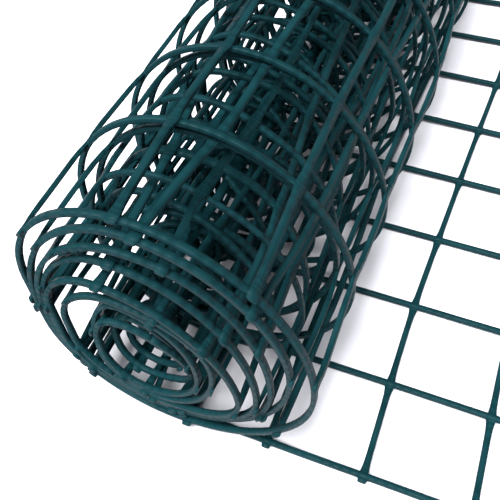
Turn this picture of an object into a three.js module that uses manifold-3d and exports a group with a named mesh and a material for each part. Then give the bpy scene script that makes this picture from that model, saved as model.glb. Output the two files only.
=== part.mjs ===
// Roll of plastic mesh fencing, lying on its side with its free end unrolled along the floor.
// One piece of square net: long strands run with the length, cross strands run with the width,
// and they are fused where they cross. The net is drawn in four stretches that follow each
// other along its length: the flat run, the outermost turn, and two of the turns inside that.
// Millimetres. +X along the unrolled run, +Y along the roll, +Z up.

import * as THREE from 'three';
import { mergeVertices } from 'three/addons/utils/BufferGeometryUtils.js';
import Module from 'manifold-3d';

// the net
const cell = 50;              // from strand to strand, both ways
const cellsAcross = 10;       // cells in the width of the net
const cellsLong = 60;         // cells in the length of the net
const longWidth = 2.8;        // strand that runs with the length
const longThick = 2.2;
const crossWidth = 3;         // strand that runs with the width, on the outer side of the roll
const crossThick = 2.2;
const fuseDepth = 0.8;        // how far the two sink into each other
const crossStub = 1.6;        // cut end of a cross strand, past the outermost long strand
const longStub = 3;           // cut end of a long strand, past the last cross strand

// the roll, with X measured from a cross strand near its right side
const rollLeft = -106;        // middle line of the outermost turn where it bulges furthest left
const rollTop = 147.5;        // and where it is highest
const rollRight = 26;         // and furthest right
const packedGap = 0.1;        // between neighbouring turns where they lie tight, left and below
const floorGap = 0.3;         // between the net on the floor and the turn that lies on it
const innerSlip = 6;          // how far the inner turns have slid out at the near end
const joinGap = 0.3;          // between two stretches of the net

// Each turn from the outermost in: how loosely it lies inside the turn before it, above and at
// its right side, the places of its top and its right side, the two heights between which its
// left side stands upright, and the place where it leaves the ground.
const turns = [
  { looseTop: 0, looseRight: 0, topX: -45, rightZ: 69, upright: [57, 87], footX: -50 },
  { looseTop: 0.8, looseRight: 5.8, topX: -45, rightZ: 82, upright: [60, 85], footX: -45 },
  { looseTop: 8.3, looseRight: 5.3, topX: -52, rightZ: 61, upright: [58, 78], footX: -45 },
  { looseTop: 7.8, looseRight: 2.1, topX: -60, rightZ: 55, upright: [56, 70], footX: -45 },
  { looseTop: 14.8, looseRight: 3.7, topX: -66, rightZ: 50, upright: [54, 62], footX: -48 },
  { looseTop: 0, looseRight: 6.6, topX: -64, rightZ: 57, upright: [54, 60], footX: -50 },
  { looseTop: 0, looseRight: 5.8, topX: -62, rightZ: 54, upright: [54, 58], footX: -52 },
  { looseTop: 4.9, looseRight: 1.8, topX: -62, rightZ: 51, upright: [52, 55], footX: -54 },
  { looseTop: 1.3, looseRight: 0, topX: -57.25, rightZ: 50, upright: [52, 55], footX: -55 },
];

// what the sizes above give
const netWidth = cellsAcross * cell;
const netLength = cellsLong * cell + 2 * longStub;
const longInside = longThick / 2;
const crossInside = fuseDepth - longInside;
const crossOutside = crossInside - crossThick;
const netThick = longInside - crossOutside;
const floorLevel = -crossOutside;
const packedPitch = netThick + packedGap;
const nearEdge = -longWidth / 2 - crossStub;
const strandLength = netWidth - 2 * nearEdge;
const middleY = (netWidth - innerSlip) / 2;

const netGreen = new THREE.MeshStandardMaterial({ color: 0x1d4f4b, roughness: 0.45, metalness: 0 });

const wasm = await Module();
wasm.setup();

// The middle line of the long strands, seen along the roll: quarter ellipses from foot to left
// side, to top, to right side and to the next foot. What the roll leaves of the net's length
// runs straight along the floor.
const quarter = (centreX, centreZ, reachX, reachZ, from) => (
  new THREE.EllipseCurve(centreX, centreZ, reachX, reachZ, from, from - Math.PI / 2, true)
);
const straight = (fromX, fromZ, toX, toZ) => (
  new THREE.LineCurve(new THREE.Vector2(fromX, fromZ), new THREE.Vector2(toX, toZ))
);
const footLevel = (index) => (
  index === 0 ? floorLevel : floorLevel + netThick + floorGap + (index - 1) * packedPitch
);

const rolled = [];
let left = rollLeft;
let top = rollTop;
let right = rollRight;
turns.forEach(({ topX, rightZ, upright: [low, high], footX }, index) => {
  rolled.push(quarter(footX, low, footX - left, low - footLevel(index), -Math.PI / 2));
  rolled.push(straight(left, low, left, high));
  rolled.push(quarter(topX, high, topX - left, top - high, Math.PI));
  const next = turns[index + 1];
  if (!next) return;
  rolled.push(quarter(topX, rightZ, right - topX, top - rightZ, Math.PI / 2));
  rolled.push(quarter(next.footX, rightZ, right - next.footX, rightZ - footLevel(index + 1), 0));
  left += packedPitch;
  top -= packedPitch + next.looseTop;
  right -= packedPitch + next.looseRight;
});

const lengthOf = (curves) => curves.reduce((sum, curve) => sum + curve.getLength(), 0);
const floorRun = netLength - lengthOf(rolled);
const tailEnd = turns[0].footX + floorRun;
const middleX = (rollLeft + crossOutside + tailEnd) / 2;
const line = new THREE.CurvePath();
line.add(straight(tailEnd, floorLevel, turns[0].footX, floorLevel));
rolled.forEach((curve) => line.add(curve));
const lineLength = line.getLength();

// where the stretches meet: half a cell before the net leaves the floor, and after whole turns
const curvesInTurn = 5;
const afterTurns = (count) => floorRun + lengthOf(rolled.slice(0, count * curvesInTurn));
const leavesFloor = floorRun - cell / 2;
const outerEnds = afterTurns(1);
const middleEnds = afterTurns(5);

// a place beside the middle line, so far from the free end and so far towards the roll's inside
const heading = (distance) => line.getTangent(distance / lineLength);
const beside = (distance, inward) => {
  const along = heading(distance);
  const place = line.getPoint(distance / lineLength);
  return place.add(new THREE.Vector2(along.y, -along.x).multiplyScalar(inward));
};

// distances from one end of a stretch to the other, close enough for its bends
const bendStep = 15;
const wallStep = 11;
const steps = (from, to, longest) => {
  const count = Math.ceil((to - from) / longest);
  return Array.from({ length: count + 1 }, (unused, index) => from + ((to - from) * index) / count);
};

// a band that follows the net, between two heights beside its middle line, across y to y + depth
const band = (distances, outer, inner, y, depth) => {
  const outside = distances.map((distance) => beside(distance, outer));
  const inside = distances.map((distance) => beside(distance, inner)).reverse();
  const outline = new THREE.Shape([...outside, ...inside]);
  const geometry = new THREE.ExtrudeGeometry(outline, { depth, bevelEnabled: false });
  geometry.rotateX(Math.PI / 2);
  geometry.translate(-middleX, y + depth - middleY, 0);
  return geometry;
};

const longStrand = (distances, index) => (
  band(distances, -longInside, longInside, index * cell - longWidth / 2, longWidth)
);

const crossStrand = (distance) => {
  const geometry = new THREE.BoxGeometry(crossWidth, strandLength, crossThick);
  const place = beside(distance, (crossInside + crossOutside) / 2);
  const along = heading(distance);
  geometry.rotateY(-Math.atan2(along.y, along.x));
  geometry.translate(place.x - middleX, netWidth / 2 - middleY, place.y);
  return geometry;
};

const toSolid = (geometry) => {
  geometry.deleteAttribute('normal');
  geometry.deleteAttribute('uv');
  const merged = mergeVertices(geometry);
  return new wasm.Manifold(new wasm.Mesh({
    numProp: 3,
    vertProperties: merged.attributes.position.array,
    triVerts: merged.index.array,
  }));
};

const toGeometry = (solid) => {
  const mesh = solid.getMesh();
  const geometry = new THREE.BufferGeometry();
  geometry.setAttribute('position', new THREE.BufferAttribute(mesh.vertProperties, 3));
  geometry.setIndex(new THREE.BufferAttribute(mesh.triVerts, 1));
  return geometry;
};

// a stretch of net with its strands, fused where they cross
const strandNet = (distances) => {
  const strands = Array.from({ length: cellsAcross + 1 }, (unused, index) => longStrand(distances, index));
  for (let index = 0; index <= cellsLong; index += 1) {
    const distance = longStub + index * cell;
    const starts = distance - crossWidth / 2 > distances[0];
    const ends = distance + crossWidth / 2 < distances[distances.length - 1];
    if (starts && ends) strands.push(crossStrand(distance));
  }
  return toGeometry(strands.map(toSolid).reduce((whole, strand) => whole.add(strand)));
};

// a stretch of net as one plain wall, as thick as its long strands
const wallNet = (distances) => (
  toGeometry(toSolid(band(distances, -longInside, longInside, nearEdge - innerSlip, strandLength)))
);

const mesh = (name, geometry) => {
  const piece = new THREE.Mesh(geometry, netGreen);
  piece.name = name;
  return piece;
};

const roll = new THREE.Group();
roll.add(mesh('flat_net', strandNet([0, leavesFloor])));
roll.add(mesh('outer_turn', strandNet(steps(leavesFloor + joinGap, outerEnds, bendStep))));
roll.add(mesh('middle_turns', wallNet(steps(outerEnds + joinGap, middleEnds, wallStep))));
roll.add(mesh('inner_turns', wallNet(steps(middleEnds + joinGap, lineLength, wallStep))));

export default roll;
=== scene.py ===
"""Plastic mesh fencing: a loose roll of square garden net with its free end unrolled on the floor.

The whole net is modelled flat, crossing by crossing, and then laid along the line that the roll
follows. Lengths are millimetres of the real net until they go into a mesh, which is in metres.
"""

import math

import bmesh
import bpy
import numpy as np
from mathutils import Matrix, Vector


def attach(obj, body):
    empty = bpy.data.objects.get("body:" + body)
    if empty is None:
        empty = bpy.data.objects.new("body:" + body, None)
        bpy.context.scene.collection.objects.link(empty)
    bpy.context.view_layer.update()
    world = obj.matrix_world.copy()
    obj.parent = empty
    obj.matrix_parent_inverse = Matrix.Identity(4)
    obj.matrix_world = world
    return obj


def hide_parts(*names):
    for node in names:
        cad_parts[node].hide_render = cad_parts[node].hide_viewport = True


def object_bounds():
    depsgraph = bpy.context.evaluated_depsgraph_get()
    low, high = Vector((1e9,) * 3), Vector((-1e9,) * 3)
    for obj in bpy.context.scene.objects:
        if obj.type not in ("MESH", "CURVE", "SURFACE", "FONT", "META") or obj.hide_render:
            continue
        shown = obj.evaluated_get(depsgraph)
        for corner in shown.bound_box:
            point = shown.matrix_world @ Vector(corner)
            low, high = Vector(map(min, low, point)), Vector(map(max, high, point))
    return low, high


MM = 0.001

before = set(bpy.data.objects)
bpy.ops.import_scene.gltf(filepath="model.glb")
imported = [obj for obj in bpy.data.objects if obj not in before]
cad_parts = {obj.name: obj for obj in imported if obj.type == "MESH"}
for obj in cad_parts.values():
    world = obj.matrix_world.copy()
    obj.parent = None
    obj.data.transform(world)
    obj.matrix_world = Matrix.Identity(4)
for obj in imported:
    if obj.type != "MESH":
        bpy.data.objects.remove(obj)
cad_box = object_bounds()

# the net, as it comes off the extruder
CELL = 50.0
CELLS_ACROSS = 10
CELLS_LONG = 66        # 6 more than the solids have, for the short loops deep in the roll's bore
LONG_WIDTH = 2.8
LONG_THICK = 2.2
CROSS_WIDTH = 3.0
CROSS_THICK = 2.2
FUSE_DEPTH = 0.8
CROSS_STUB = 1.6
LONG_STUB = 3.0
NET_WIDTH = CELL * CELLS_ACROSS
NET_LENGTH = CELL * CELLS_LONG + 2 * LONG_STUB

# heights in the net's own thickness, from the middle of the long strands towards the inner side
LONG_INSIDE = LONG_THICK / 2
CROSS_INSIDE = FUSE_DEPTH - LONG_INSIDE
CROSS_OUTSIDE = CROSS_INSIDE - CROSS_THICK
NET_THICK = LONG_INSIDE - CROSS_OUTSIDE

# the roll, with X measured from a cross strand near its right side
ROLL_LEFT = -104.0
ROLL_TOP = 147.5
ROLL_RIGHT = 26.0
FLOOR_LEVEL = -CROSS_OUTSIDE
FIRST_LAYER = NET_THICK + 0.3      # the turn that lies on the net on the floor is this much higher
PITCH_BELOW = 3.45                 # and each turn lies this much inside the one before it: below,
PITCH_LEFT = 2.5                   # at the left, where strands press between each other,
PITCH_ABOVE = 3.7                  # and above and at the right, where it is looser still by "loose"

# Each turn from the outermost in. loose is how much wider than tight the gap to the turn outside
# it is, at the left, above and at the right. The line goes through the top at top_x, through the
# right side at right_z, stands upright at the left between two heights, and meets the ground at
# foot_x. slip is how far the turn has slid out at the near end, at its top and at its right side,
# and creep how far its crossings have moved on along the net there. shift is how far its long
# strands lie from those of a square net, deeper in the roll.
TURNS = (
    {"loose": (0, 0, 0), "top_x": -45, "right_z": 69, "upright": (57, 87), "foot_x": -50,
     "slip": (1.2, 3.5), "creep": (6, 20), "shift": (0, 4)},
    {"loose": (0.5, 1.3, 5.8), "top_x": -45, "right_z": 82, "upright": (60, 70), "foot_x": -45,
     "slip": (4, 3.5), "creep": (35, 22), "shift": (13, 17)},
    {"loose": (0, 7.8, 5.3), "top_x": -50, "right_z": 61, "upright": (58, 68), "foot_x": -45,
     "slip": (3, 3), "creep": (28, 33), "shift": (-16, -12)},
    {"loose": (0, 7.8, 2.1), "top_x": -60, "right_z": 55, "upright": (56, 70), "foot_x": -45,
     "slip": (3.5, 4), "creep": (47, 50), "shift": (22, 18)},
    {"loose": (0, 10.8, 3.7), "top_x": -65, "right_z": 50, "upright": (54, 76), "foot_x": -48,
     "slip": (6, 5.5), "creep": (46, 48), "shift": (-7, -10)},
    {"loose": (3.5, 4.0, 8.0), "top_x": -60, "right_z": 66, "upright": (54, 68), "foot_x": -50,
     "slip": (5, 4.5), "creep": (25, 28), "shift": (9, 14)},
    {"loose": (9, 1.6, 4.4), "top_x": -58, "right_z": 57, "upright": (45, 50), "foot_x": -52,
     "slip": (4, 4.5), "creep": (30, 28), "shift": (-20, -15)},
    {"loose": (0.1, 7.9, 1.8), "top_x": -60, "right_z": 50, "upright": (52, 60), "foot_x": -54,
     "slip": (4, 0), "creep": (25, 22), "shift": (17, 10)},
    {"loose": (1.7, 0.3, 3.1), "top_x": -60, "right_z": 50, "upright": (50, 56), "foot_x": -55,
     "slip": (-3, -7), "creep": (20, 18), "shift": (-9, -12)},
    {"loose": (0.3, 0.3, 0.3), "top_x": -59, "right_z": 50, "upright": (48, 54), "foot_x": -55,
     "slip": (-10, -13), "creep": (26, 30), "shift": (6, 9)},
    {"loose": (0.3, 0.3, 0.3), "top_x": -58, "right_z": 50, "upright": (47, 53), "foot_x": -55,
     "slip": (-16, -19), "creep": (34, 38), "shift": (-4, -6)},
    {"loose": (0, 0, 0), "top_x": -57, "right_z": 50, "upright": (48, 52), "foot_x": -55,
     "slip": (-22, -25), "creep": (40, 42), "shift": (0, 0)},
)
FOOT_CREEP = -5.0      # where the net leaves the floor its crossings lie this far back
LEAN = 46.0            # how far the inner turns' cross strands lean over, from end to end
WANDER = 3.5           # and how far their long strands wander about their shift
LAG = 9.0              # how far the last crossings before the roll trail behind at its far end
RIPPLE = 0.3           # how high the net on the floor waves, in each of two waves
BULGE = 0.8            # and how far the rolled net does, in and out

# where the row's frame has its origin: the CAD box ends at the free end and at the far edge
TAIL_END = 503.04
FAR_EDGE = NET_WIDTH + LONG_WIDTH / 2 + CROSS_STUB
MIDDLE_X = TAIL_END - cad_box[1][0] / MM
MIDDLE_Y = FAR_EDGE - cad_box[1][1] / MM


# the line that the net follows

def quarter_turn(centre, reach, start):
    angle = np.linspace(start, start - math.pi / 2, 60)
    return np.stack([centre[0] + reach[0] * np.cos(angle), centre[1] + reach[1] * np.sin(angle)], 1)


def foot_level(index):
    return FLOOR_LEVEL + (FIRST_LAYER + (index - 1) * PITCH_BELOW if index else 0)


def rolled_line():
    """Points of the roll's turns from the foot of the outermost in, and where each lies along it.

    The second and third results are the lengths at each turn's top and right side.
    """
    left, top, right = ROLL_LEFT, ROLL_TOP, ROLL_RIGHT
    runs = []
    for index, turn in enumerate(TURNS):
        if index:
            left += PITCH_LEFT + turn["loose"][0]
            top -= PITCH_ABOVE + turn["loose"][1]
            right -= PITCH_ABOVE + turn["loose"][2]
        low, high = turn["upright"]
        foot_x, level = turn["foot_x"], foot_level(index)
        crown = (turn["top_x"], turn["right_z"])
        below = foot_level(index + 1)
        runs.append(quarter_turn((foot_x, low), (foot_x - left, low - level), -math.pi / 2))
        runs.append(quarter_turn((crown[0], high), (crown[0] - left, top - high), math.pi))
        runs.append(quarter_turn(crown, (right - crown[0], top - crown[1]), math.pi / 2))
        inner = TURNS[min(index + 1, len(TURNS) - 1)]["foot_x"]
        runs.append(quarter_turn((inner, crown[1]), (right - inner, crown[1] - below), 0.0))
    points = np.concatenate(runs)
    lengths = np.concatenate([[0.0], np.cumsum(np.linalg.norm(np.diff(points, axis=0), axis=1))])
    count = len(runs[0])
    tops = lengths[2 * count::4 * count]
    sides = lengths[3 * count::4 * count]
    kept = np.concatenate([[True], np.diff(lengths) > 1e-6])
    return points[kept], tops, sides


ROLLED, TOPS, SIDES = rolled_line()
FLOOR_RUN = TAIL_END - TURNS[0]["foot_x"]
LINE = np.concatenate([[(TAIL_END, FLOOR_LEVEL)], ROLLED])
ALONG = np.concatenate([[0.0], np.cumsum(np.linalg.norm(np.diff(LINE, axis=0), axis=1))])
HEADINGS = np.unwrap(np.arctan2(np.gradient(LINE[:, 1], ALONG), np.gradient(LINE[:, 0], ALONG)))


def smooth(value, start, end):
    share = np.clip((value - start) / (end - start), 0, 1)
    return share * share * (3 - 2 * share)


def by_turn(name, start, along):
    """One of the pairs in TURNS, followed smoothly along the net from a value at the foot."""
    places = [FLOOR_RUN]
    values = [start]
    for top, side, turn in zip(TOPS, SIDES, TURNS):
        places += [FLOOR_RUN + top, FLOOR_RUN + side]
        values += turn[name]
    return np.interp(along, places, values)


def settle(along, across):
    """How the crossings have moved in the net, along it and across it: it is never quite square."""
    rolled = smooth(along, FLOOR_RUN - CELL, FLOOR_RUN + 6 * CELL)
    inner = smooth(along, FLOOR_RUN + 3 * CELL, FLOOR_RUN + 13 * CELL)
    depth = smooth(across, 0, 1.5 * CELL)
    far = smooth(across, 6 * CELL, 10 * CELL)
    creep = by_turn("creep", FOOT_CREEP, along) * smooth(along, FLOOR_RUN - 2 * CELL, FLOOR_RUN)
    wave = np.sin(across / 61 + along / 97 + 1.0) + 0.6 * np.sin(across / 27 - along / 143 + 2.0)
    creep += wave * (0.5 + 0.8 * rolled + 1.6 * inner * depth)
    near_roll = smooth(along, FLOOR_RUN - 5 * CELL, FLOOR_RUN - CELL) * (1 - rolled)
    creep -= LAG * near_roll * smooth(across, 1.5 * CELL, 7 * CELL)
    creep += LEAN * np.sin(along / 170 + 0.4) * inner * across / NET_WIDTH
    wave = np.sin(along / 41 + across / 113 + 0.4) + 0.6 * np.sin(along / 23 - across / 77 + 1.7)
    slip = by_turn("slip", 0.0, along) * (1 - far)
    drift = wave * (0.35 + 0.5 * rolled + 1.2 * inner * depth)
    shift = by_turn("shift", 0.0, along) + WANDER * np.sin(along / 67 + across / 240) * inner
    shift *= depth * (1 - 0.75 * far)
    return along + creep, across - slip + drift + shift


def lay_along_line(flat):
    """Takes points of the flat net (along, across, inwards) to their places on the floor and roll."""
    along, across = settle(flat[:, 0], flat[:, 1])
    x = np.interp(along, ALONG, LINE[:, 0])
    z = np.interp(along, ALONG, LINE[:, 1])
    heading = np.interp(along, ALONG, HEADINGS)
    ripple = np.sin(along / 31 + across / 59) + np.sin(across / 37 - along / 83 + 0.6) + 2
    on_floor = smooth(along, 0, CELL) * (1 - smooth(along, FLOOR_RUN - CELL, FLOOR_RUN))
    inwards = flat[:, 2] + RIPPLE * ripple * on_floor
    bulge = np.sin(across / 33 + along / 71) + np.sin(across / 19 - along / 113 + 2.2)
    off_floor = smooth(z, FLOOR_LEVEL + 20, FLOOR_LEVEL + 60)
    rolled = smooth(along, FLOOR_RUN + CELL, FLOOR_RUN + 6 * CELL)
    inwards = inwards + BULGE * bulge * rolled * off_floor * smooth(across, 0, CELL)
    return np.stack([
        x + inwards * np.sin(heading) - MIDDLE_X,
        across - MIDDLE_Y,
        z - inwards * np.cos(heading),
    ], 1) * MM


# one crossing of two strands

WEB = 1.5             # how much wider the cross strand is where it is fused to the long one
PRESS = 0.7           # and how much flatter
FLAT = 0.7            # how far the strands' four edges are kept from rounding off
LONG_STEPS = ((6.0, 1, 0), (10.75, 1, 0), (15.5, 1, 0), (20.25, 1, 0), (25.0, 1, 0))
CROSS_STEPS = ((3.0, 1.32, 0.6), (6.0, 1.1, 0.25), (12.0, 1, 0), (25.0, 1, 0))


def side_faces(bm, axis, sign):
    """The faces of a crossing's block that a strand is drawn out of: above for the long one."""
    found = []
    for face in bm.faces:
        height = face.calc_center_median().z
        fits = height > -LONG_INSIDE if axis == 0 else height < CROSS_INSIDE
        if fits and face.normal[axis] * sign > 0.9:
            found.append(face)
    return found


def draw_strand(bm, faces, axis, sign, steps):
    """Draws a strand out of one side of a crossing, a loop for each step, and returns its end.

    A step is how far it reaches, how many times as wide it is, and how far its outer face is in.
    """
    side = 1 - axis
    width = LONG_WIDTH if axis == 0 else CROSS_WIDTH
    for reach, flare, sunk in steps:
        grown = bmesh.ops.extrude_face_region(bm, geom=faces)["geom"]
        faces = [part for part in grown if isinstance(part, bmesh.types.BMFace)]
        for vert in {v for face in faces for v in face.verts}:
            vert.co[axis] = sign * reach
            vert.co[side] = math.copysign(width * flare / 2, vert.co[side])
            if vert.co.z < -LONG_INSIDE - 0.1:
                vert.co.z = CROSS_OUTSIDE + sunk
    return faces


def crease_edges(bm, cuts):
    """Keeps the strands' edges and their cut ends from rounding off."""
    creases = bm.edges.layers.float.new("crease_edge")
    middles = (CROSS_INSIDE, -LONG_INSIDE)
    block = (CROSS_WIDTH * WEB / 2, LONG_WIDTH / 2)
    for edge in bm.edges:
        start, end = (vert.co for vert in edge.verts)
        for axis in (0, 1):
            runs = abs(end[axis] - start[axis]) > 0.5
            outside = min(abs(start[axis]), abs(end[axis])) > block[axis] - 0.01
            if runs and outside and abs(start.z - middles[axis]) > 0.01:
                edge[creases] = FLAT
    for edge in {edge for face in cuts for edge in face.edges}:
        if len([face for face in edge.link_faces if face in cuts]) == 1:
            edge[creases] = 1.0


def make_crossing(arms):
    """Two fused strands. arms gives how each of the four goes on: a half cell, or a cut stub."""
    bm = bmesh.new()
    bmesh.ops.create_cube(bm, size=1)
    block = (CROSS_WIDTH * WEB, LONG_WIDTH, NET_THICK - PRESS)
    bmesh.ops.scale(bm, verts=bm.verts, vec=block)
    bmesh.ops.translate(bm, verts=bm.verts, vec=(0, 0, (LONG_INSIDE + CROSS_OUTSIDE + PRESS) / 2))
    for level in (-LONG_INSIDE, CROSS_INSIDE):
        geom = bm.verts[:] + bm.edges[:] + bm.faces[:]
        bmesh.ops.bisect_plane(bm, geom=geom, plane_co=(0, 0, level), plane_no=(0, 0, 1), dist=1e-5)
    sides = {arm: side_faces(bm, *arm) for arm in arms}
    ends = []
    cuts = []
    for (axis, sign), (steps, is_open) in arms.items():
        end = draw_strand(bm, sides[axis, sign], axis, sign, steps)
        (ends if is_open else cuts).extend(end)
    crease_edges(bm, cuts)
    bmesh.ops.delete(bm, geom=ends, context="FACES_ONLY")
    mesh = bpy.data.meshes.new("crossing")
    bm.to_mesh(mesh)
    bm.free()
    return mesh


half_long = (LONG_STEPS, True)
half_cross = (CROSS_STEPS, True)
stub_long = (((LONG_STUB - 0.3, 1, 0), (LONG_STUB, 1, 0)), False)
stub_reach = LONG_WIDTH / 2 + CROSS_STUB
stub_cross = (((stub_reach - 0.3, 1.3, PRESS), (stub_reach, 1.25, PRESS)), False)
crossings = {}


def crossing(column, row):
    """The crossing for a place in the net, made once for each kind of edge."""
    first, last = column == 0, column == CELLS_LONG
    near, far = row == 0, row == CELLS_ACROSS
    key = (first, last, near, far)
    if key not in crossings:
        crossings[key] = make_crossing({
            (0, -1): stub_long if first else half_long,
            (0, 1): stub_long if last else half_long,
            (1, -1): stub_cross if near else half_cross,
            (1, 1): stub_cross if far else half_cross,
        })
    return crossings[key]


def map_strands(mesh, flat):
    """A UV map in metres of net: u runs along each strand, and v across it."""
    place = flat[:, :2] * MM
    corners = np.empty(len(mesh.loops), dtype=np.int64)
    mesh.loops.foreach_get("vertex_index", corners)
    sizes = np.empty(len(mesh.polygons), dtype=np.int64)
    mesh.polygons.foreach_get("loop_total", sizes)
    starts = np.concatenate([[0], np.cumsum(sizes)[:-1]])
    middles = np.add.reduceat(flat[corners], starts) / sizes[:, None]
    from_row = np.abs((middles[:, 1] + CELL / 2) % CELL - CELL / 2)
    is_cross = np.repeat(from_row > LONG_WIDTH / 2, sizes)
    uv = np.where(is_cross[:, None], place[corners][:, ::-1], place[corners])
    mesh.uv_layers.new(name="strand_run").data.foreach_set("uv", uv.ravel())


def make_net(name, columns, replaced):
    """The stretch of net that holds the given columns of crossings."""
    bm = bmesh.new()
    bm.edges.layers.float.new("crease_edge")
    for column in columns:
        for row in range(CELLS_ACROSS + 1):
            before = len(bm.verts)
            bm.from_mesh(crossing(column, row))
            bm.verts.ensure_lookup_table()
            place = (LONG_STUB + column * CELL, row * CELL, 0)
            bmesh.ops.translate(bm, verts=bm.verts[before:], vec=place)
    bmesh.ops.remove_doubles(bm, verts=bm.verts, dist=0.01)
    creases = bm.edges.layers.float["crease_edge"]
    edges = [edge for edge in bm.edges if edge.is_boundary]
    for edge in edges:
        edge[creases] = 1.0
    bmesh.ops.holes_fill(bm, edges=edges)
    bmesh.ops.recalc_face_normals(bm, faces=bm.faces)
    mesh = bpy.data.meshes.new(name)
    bm.to_mesh(mesh)
    bm.free()
    flat = np.empty(len(mesh.vertices) * 3)
    mesh.vertices.foreach_get("co", flat)
    flat = flat.reshape(-1, 3)
    map_strands(mesh, flat)
    mesh.vertices.foreach_set("co", lay_along_line(flat).ravel())
    mesh.flip_normals()
    mesh.shade_smooth()
    piece = bpy.data.objects.new(name, mesh)
    bpy.context.scene.collection.objects.link(piece)
    finish = piece.modifiers.new("rounding", "SUBSURF")
    finish.levels = 1
    finish.render_levels = 1
    mesh.materials.append(net_plastic)
    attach(piece, "root")
    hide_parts(*replaced)
    return piece


# materials

def linear(hex_colour):
    """An sRGB hex value as the linear colour that the shader wants."""
    channels = [int(hex_colour[i:i + 2], 16) / 255 for i in (0, 2, 4)]
    return [c / 12.92 if c <= 0.04045 else ((c + 0.055) / 1.055) ** 2.4 for c in channels] + [1.0]


def add_node(tree, kind, settings=None, inputs=None):
    node = tree.nodes.new(kind)
    for key, value in (settings or {}).items():
        setattr(node, key, value)
    for key, value in (inputs or {}).items():
        if isinstance(value, bpy.types.NodeSocket):
            tree.links.new(value, node.inputs[key])
        else:
            node.inputs[key].default_value = value
    return node


LINES_PER_METRE = 2200       # a line from the die's edge about every 0.45 mm across a strand
LINE_BREAKS = 30             # and it changes about every 33 mm along it
PATCHES_PER_METRE = 38.0     # a lighter or darker patch every 26 mm or so
GRAIN_PER_METRE = 1500.0     # fine grain, drawn at 0.7 mm, coarser than the real one, to show


def make_net_plastic():
    """Polyethylene, extruded and drawn: a waxy dark green, with fine lines along every strand.

    The lines are a little paler where the plastic was stretched, and the sheen is low and uneven.
    """
    material = bpy.data.materials.new("extruded_polyethylene_dark_green")
    material.use_nodes = True
    tree = material.node_tree
    shader = tree.nodes["Principled BSDF"]
    run = add_node(tree, "ShaderNodeUVMap", {"uv_map": "strand_run"}).outputs["UV"]
    place = add_node(tree, "ShaderNodeTexCoord").outputs["Object"]
    stretched = add_node(tree, "ShaderNodeMapping", inputs={
        "Vector": run, "Scale": (LINE_BREAKS, LINES_PER_METRE, 1)})
    die_lines = add_node(tree, "ShaderNodeTexNoise", inputs={
        "Vector": stretched.outputs["Vector"], "Scale": 1.0, "Detail": 2.0})
    patches = add_node(tree, "ShaderNodeTexNoise", inputs={
        "Vector": place, "Scale": PATCHES_PER_METRE, "Detail": 3.0})
    grain = add_node(tree, "ShaderNodeTexNoise", inputs={
        "Vector": place, "Scale": GRAIN_PER_METRE, "Detail": 2.0})
    shades = add_node(tree, "ShaderNodeMix", {"data_type": "RGBA"}, {
        0: patches.outputs["Fac"], 6: linear("072125"), 7: linear("0d3237")})
    faded = add_node(tree, "ShaderNodeMapRange", inputs={
        "Value": die_lines.outputs["Fac"], "From Min": 0.45, "From Max": 0.8,
        "To Min": 0.0, "To Max": 0.3})
    colour = add_node(tree, "ShaderNodeMix", {"data_type": "RGBA"}, {
        0: faded.outputs["Result"], 6: shades.outputs[2], 7: linear("18464b")})
    gloss = add_node(tree, "ShaderNodeMapRange", inputs={
        "Value": patches.outputs["Fac"], "From Min": 0.3, "From Max": 0.7,
        "To Min": 0.46, "To Max": 0.6})
    relief = add_node(tree, "ShaderNodeMix", {"data_type": "FLOAT"}, {
        0: 0.35, 2: die_lines.outputs["Fac"], 3: grain.outputs["Fac"]})
    bump = add_node(tree, "ShaderNodeBump", inputs={
        "Strength": 0.5, "Distance": 0.00015, "Height": relief.outputs[0]})
    tree.links.new(colour.outputs[2], shader.inputs["Base Color"])
    tree.links.new(gloss.outputs["Result"], shader.inputs["Roughness"])
    tree.links.new(bump.outputs["Normal"], shader.inputs["Normal"])
    shader.inputs["IOR"].default_value = 1.51
    shader.inputs["Specular IOR Level"].default_value = 0.06
    return material


net_plastic = make_net_plastic()

make_net("net_on_floor", range(0, 11), ["flat_net"])
make_net("net_outer_turn", range(11, 21), ["outer_turn"])
make_net("net_second_turns", range(21, 34), ["middle_turns"])
make_net("net_third_turns", range(34, 47), ["middle_turns"])
make_net("net_fourth_turns", range(47, 57), ["inner_turns"])
make_net("net_inner_turns", range(57, 67), ["inner_turns"])


# camera, floor and light

FRAME_WIDTH = 500                # pixels
FOCAL_LENGTH = 706.33            # in the same pixels
CAMERA_PLACE = (61.8, -125.5, 323.4)
AZIMUTH, ELEVATION, ROLL = 25.6, 51.6, -4.4


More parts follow.
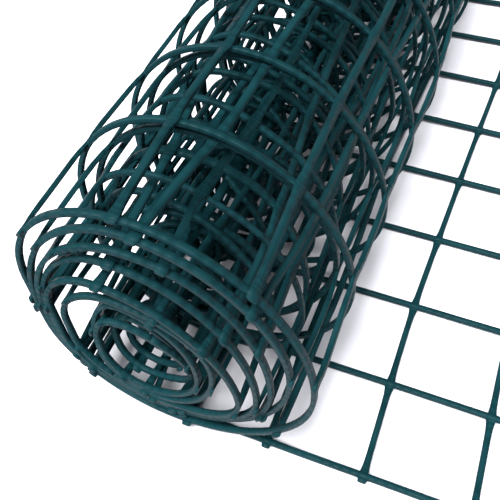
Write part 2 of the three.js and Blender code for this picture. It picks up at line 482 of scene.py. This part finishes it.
def make_camera():
    data = bpy.data.cameras.new("camera")
    data.sensor_width = 36.0
    data.lens = FOCAL_LENGTH * data.sensor_width / FRAME_WIDTH
    data.clip_start = 0.01
    data.clip_end = 20
    camera = bpy.data.objects.new("camera", data)
    bpy.context.scene.collection.objects.link(camera)
    azimuth, elevation, roll = (math.radians(angle) for angle in (AZIMUTH, ELEVATION, ROLL))
    forward = Vector((
        -math.sin(azimuth) * math.cos(elevation),
        math.cos(azimuth) * math.cos(elevation),
        -math.sin(elevation),
    ))
    level_right = Vector((math.cos(azimuth), math.sin(azimuth), 0))
    level_up = level_right.cross(forward)
    right = level_right * math.cos(roll) + level_up * math.sin(roll)
    up = right.cross(forward)
    place = (Vector(CAMERA_PLACE) - Vector((MIDDLE_X, MIDDLE_Y, CROSS_OUTSIDE))) * MM
    turn = Matrix((right, up, -forward)).transposed()
    camera.matrix_world = Matrix.Translation(place) @ turn.to_4x4()
    bpy.context.scene.camera = camera


def make_floor():
    bm = bmesh.new()
    bmesh.ops.create_grid(bm, x_segments=1, y_segments=1, size=8)
    mesh = bpy.data.meshes.new("floor")
    bm.to_mesh(mesh)
    bm.free()
    floor = bpy.data.objects.new("floor", mesh)
    floor.location.z = -0.0002
    bpy.context.scene.collection.objects.link(floor)
    material = bpy.data.materials.new("pale_floor")
    material.use_nodes = True
    shader = material.node_tree.nodes["Principled BSDF"]
    shader.inputs["Base Color"].default_value = linear("d2d2d8")
    shader.inputs["Roughness"].default_value = 0.8
    mesh.materials.append(material)


def make_lamp(name, place, spread, strength):
    """A broad even light from the side that place lies on, as wide as spread in degrees."""
    data = bpy.data.lights.new(name, "SUN")
    data.angle = math.radians(spread)
    data.energy = strength
    lamp = bpy.data.objects.new(name, data)
    lamp.location = place
    lamp.rotation_euler = (-Vector(place)).to_track_quat("-Z", "Y").to_euler()
    bpy.context.scene.collection.objects.link(lamp)


def make_sky():
    world = bpy.data.worlds.new("studio")
    world.use_nodes = True
    background = world.node_tree.nodes["Background"]
    background.inputs["Color"].default_value = (0.92, 0.92, 1.0, 1)
    background.inputs["Strength"].default_value = 0.24
    bpy.context.scene.world = world


bpy.context.scene.view_settings.view_transform = "Standard"
make_camera()
make_floor()
make_lamp("soft_key", (-0.4, -1.3, 3.0), 32, 9.6)
make_sky()
